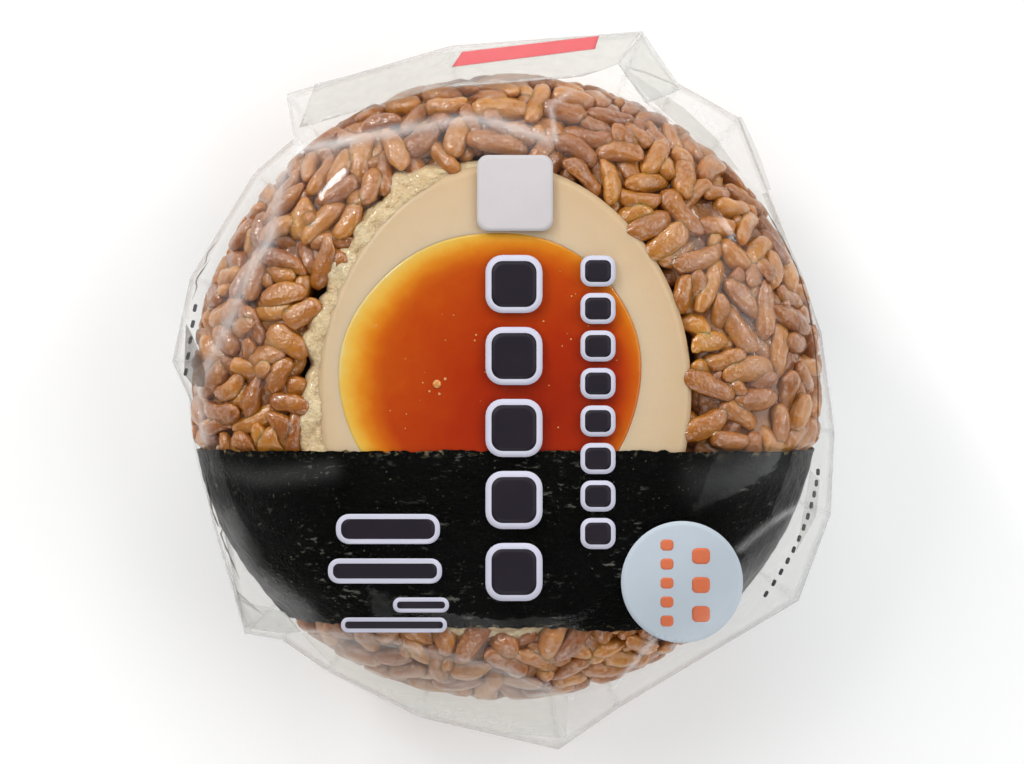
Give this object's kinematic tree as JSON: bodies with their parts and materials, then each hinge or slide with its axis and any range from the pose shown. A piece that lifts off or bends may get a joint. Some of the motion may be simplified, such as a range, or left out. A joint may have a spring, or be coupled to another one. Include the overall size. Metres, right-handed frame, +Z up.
{
  "type": "onigiri rice ball",
  "caption": "Round seasoned rice ball lying on its back, half a soft-boiled egg on mayonnaise in its front, a dried seaweed band across it, in clear film with folded ears.",
  "frame": {"origin": "middle of the base, under the middle of the pack's box", "axes": "+Z up out of the egg side, +Y towards the narrow end of the egg, +X to the right seen from the egg side"},
  "size_m": [0.0848, 0.093, 0.04],
  "materials": {
    "rice": "cooked rice stained with soy sauce, moist and slightly glossy",
    "mayonnaise": "thick sauce, soft satin",
    "egg_white": "cooked egg white browned by marinade, smooth and moist",
    "egg_yolk": "half-set yolk, wet gloss",
    "seaweed": "dried seaweed sheet, crinkled, low sheen",
    "film": "clear crisp plastic film, glossy",
    "film_print": "plain printed fields of white, pale blue, dark and red ink on film"
  },
  "bodies": {
    "root": {"rice_ball": "rice", "mayonnaise": "mayonnaise", "egg_white": "egg_white", "egg_yolk": "egg_yolk", "nori_sheet": "seaweed", "film_wrap": "film"}
  },
  "joints": []
}
